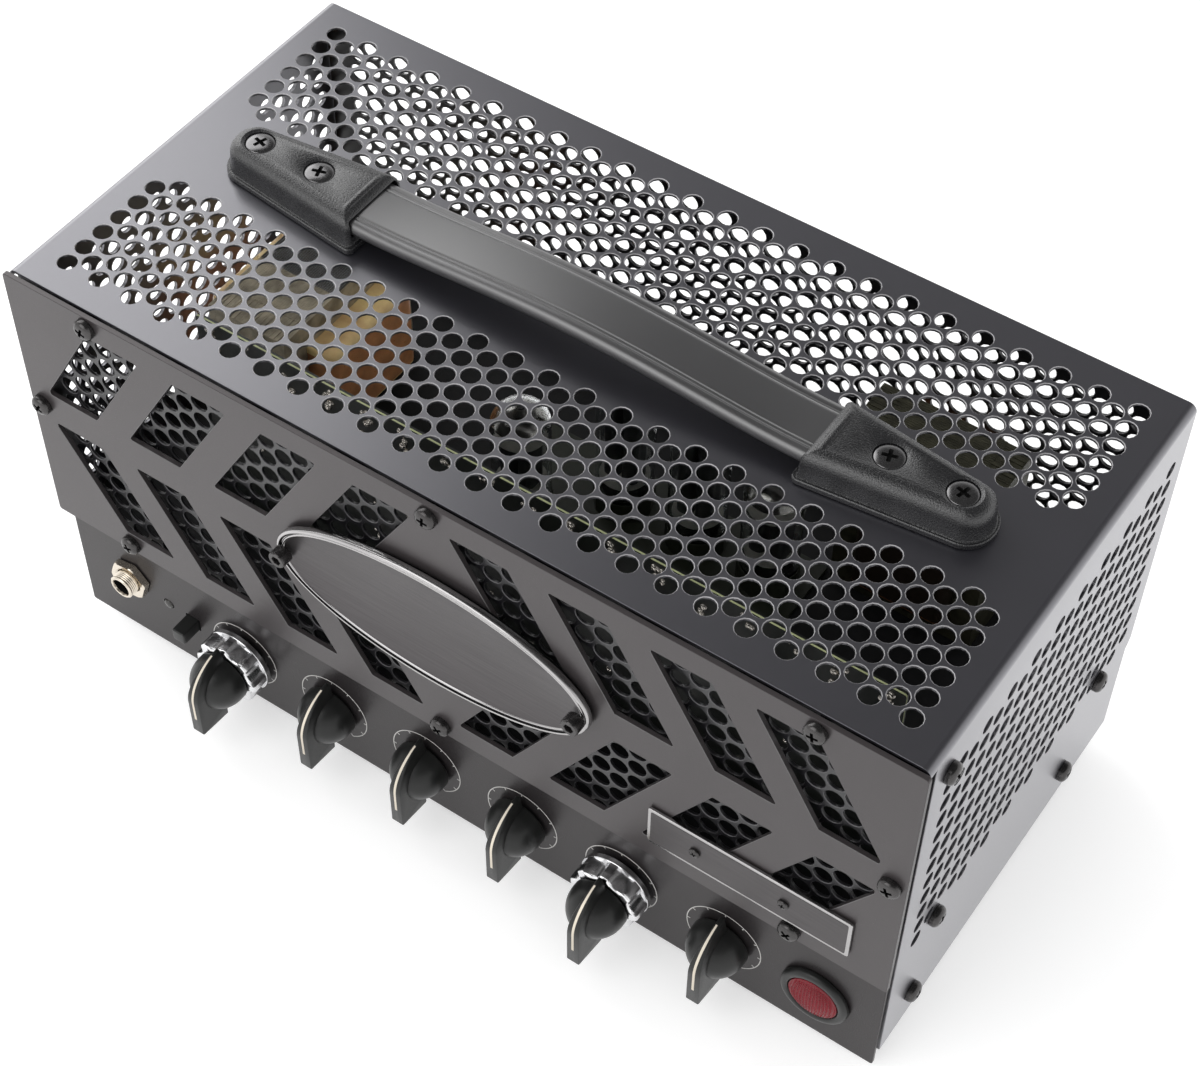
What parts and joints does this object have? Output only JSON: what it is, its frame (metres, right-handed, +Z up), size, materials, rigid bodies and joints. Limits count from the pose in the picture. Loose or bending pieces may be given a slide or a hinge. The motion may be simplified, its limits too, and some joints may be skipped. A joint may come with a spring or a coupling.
{
  "type": "guitar amplifier head",
  "caption": "Small valve guitar amplifier head: vented steel cage on a chassis, slanted-vent front plate, pointer knobs, jewel lamp and a strap handle on top.",
  "frame": {"origin": "under the middle of the whole object, on the table", "axes": "+Z up, front with the knobs towards -Y, +X to the right seen from the front"},
  "size_m": [0.336, 0.1898, 0.1863],
  "materials": {
    "black_coat": "satin black powder coat",
    "grey_coat": "satin dark grey coat",
    "steel": "plain steel",
    "gunmetal": "gunmetal satin with a bright rim",
    "chrome": "polished",
    "nickel": "warm nickel plate",
    "black_plastic": "satin moulded plastic",
    "black_rubber": "matt rubber",
    "red_lens": "clear red, faceted",
    "clear_lens": "smoked clear",
    "board": "circuit board laminate",
    "laminations": "varnished steel laminations",
    "coil_paper": "paper wrap over a copper winding",
    "tube_glass": "clear glass"
  },
  "bodies": {
    "case": {"badge_plate": "gunmetal", "badge_screw_left": "steel", "badge_screw_right": "steel", "bottom_plate": "black_coat", "button_switch": "black_plastic", "cage_cover": "black_coat", "chassis_front_wall": "black_coat", "chassis_rear_wall_jacks": "black_coat", "chassis_rear_wall_mains": "black_coat", "chassis_tray": "black_coat", "control_board": "board", "face_plate": "grey_coat", "foot_1": "black_rubber", "foot_2": "black_rubber", "foot_3": "black_rubber", "foot_4": "black_rubber", "front_board": "board", "front_grille": "black_coat", "front_panel": "grey_coat", "handle_cap_left": "black_plastic", "handle_cap_right": "black_plastic", "handle_strap": "black_rubber", "input_jack": "nickel", "input_jack_nut": "nickel", "mains_inlet": "black_plastic", "name_strip": "gunmetal", "output_transformer_coil": "coil_paper", "output_transformer_core": "laminations", "pilot_bezel": "black_plastic", "pilot_lens": "red_lens", "power_switch_frame": "black_plastic", "power_transformer_coil": "coil_paper", "power_transformer_core": "laminations", "power_tube_1": "tube_glass", "power_tube_2": "tube_glass", "preamp_tube_1": "tube_glass", "preamp_tube_2": "tube_glass", "rear_grille": "black_coat", "speaker_jack_1": "black_plastic", "speaker_jack_2": "black_plastic", "standby_switch_frame": "black_plastic", "status_lamp": "clear_lens", "tube_board": "board"},
    "knob_gain": {"knob_gain": "black_plastic", "shaft_gain": "steel"},
    "knob_low": {"knob_low": "black_plastic", "shaft_low": "steel"},
    "knob_mid": {"knob_mid": "black_plastic", "shaft_mid": "steel"},
    "knob_high": {"knob_high": "black_plastic", "shaft_high": "steel"},
    "knob_volume": {"knob_volume": "black_plastic", "shaft_volume": "steel"},
    "knob_presence": {"knob_presence": "black_plastic", "shaft_presence": "steel"},
    "collar_gain": {"collar_gain": "chrome"},
    "collar_volume": {"collar_volume": "chrome"},
    "channel_button": {"channel_button": "black_plastic"},
    "power_rocker": {"power_rocker": "black_plastic"},
    "standby_rocker": {"standby_rocker": "black_plastic"}
  },
  "joints": [
    {"name": "gain_knob_turn", "type": "hinge", "parent": "case", "child": "knob_gain", "pos_m": [-0.09, -0.06725, 0.0269], "axis": [0, 1, 0], "range_deg": [-150, 150]},
    {"name": "low_knob_turn", "type": "hinge", "parent": "case", "child": "knob_low", "pos_m": [-0.0506, -0.06725, 0.0269], "axis": [0, 1, 0], "range_deg": [-150, 150]},
    {"name": "mid_knob_turn", "type": "hinge", "parent": "case", "child": "knob_mid", "pos_m": [-0.0112, -0.06725, 0.0269], "axis": [0, 1, 0], "range_deg": [-150, 150]},
    {"name": "high_knob_turn", "type": "hinge", "parent": "case", "child": "knob_high", "pos_m": [0.0282, -0.06725, 0.0269], "axis": [0, 1, 0], "range_deg": [-150, 150]},
    {"name": "volume_knob_turn", "type": "hinge", "parent": "case", "child": "knob_volume", "pos_m": [0.0676, -0.06725, 0.0269], "axis": [0, 1, 0], "range_deg": [-150, 150]},
    {"name": "presence_knob_turn", "type": "hinge", "parent": "case", "child": "knob_presence", "pos_m": [0.107, -0.06725, 0.0269], "axis": [0, 1, 0], "range_deg": [-150, 150]},
    {"name": "gain_collar_turn", "type": "hinge", "parent": "case", "child": "collar_gain", "pos_m": [-0.09, -0.06725, 0.0269], "axis": [0, 1, 0], "range_deg": [-150, 150]},
    {"name": "volume_collar_turn", "type": "hinge", "parent": "case", "child": "collar_volume", "pos_m": [0.0676, -0.06725, 0.0269], "axis": [0, 1, 0], "range_deg": [-150, 150]},
    {"name": "channel_button_press", "type": "slide", "parent": "case", "child": "channel_button", "axis": [0, 1, 0], "range_m": [0, 0.002], "stiffness_N_per_m": 600},
    {"name": "power_rocker_tip", "type": "hinge", "parent": "case", "child": "power_rocker", "pos_m": [0.066, 0.08655, 0.0335], "axis": [1, 0, 0], "range_deg": [0, 22]},
    {"name": "standby_rocker_tip", "type": "hinge", "parent": "case", "child": "standby_rocker", "pos_m": [0.036, 0.08655, 0.0335], "axis": [1, 0, 0], "range_deg": [0, 22]}
  ]
}
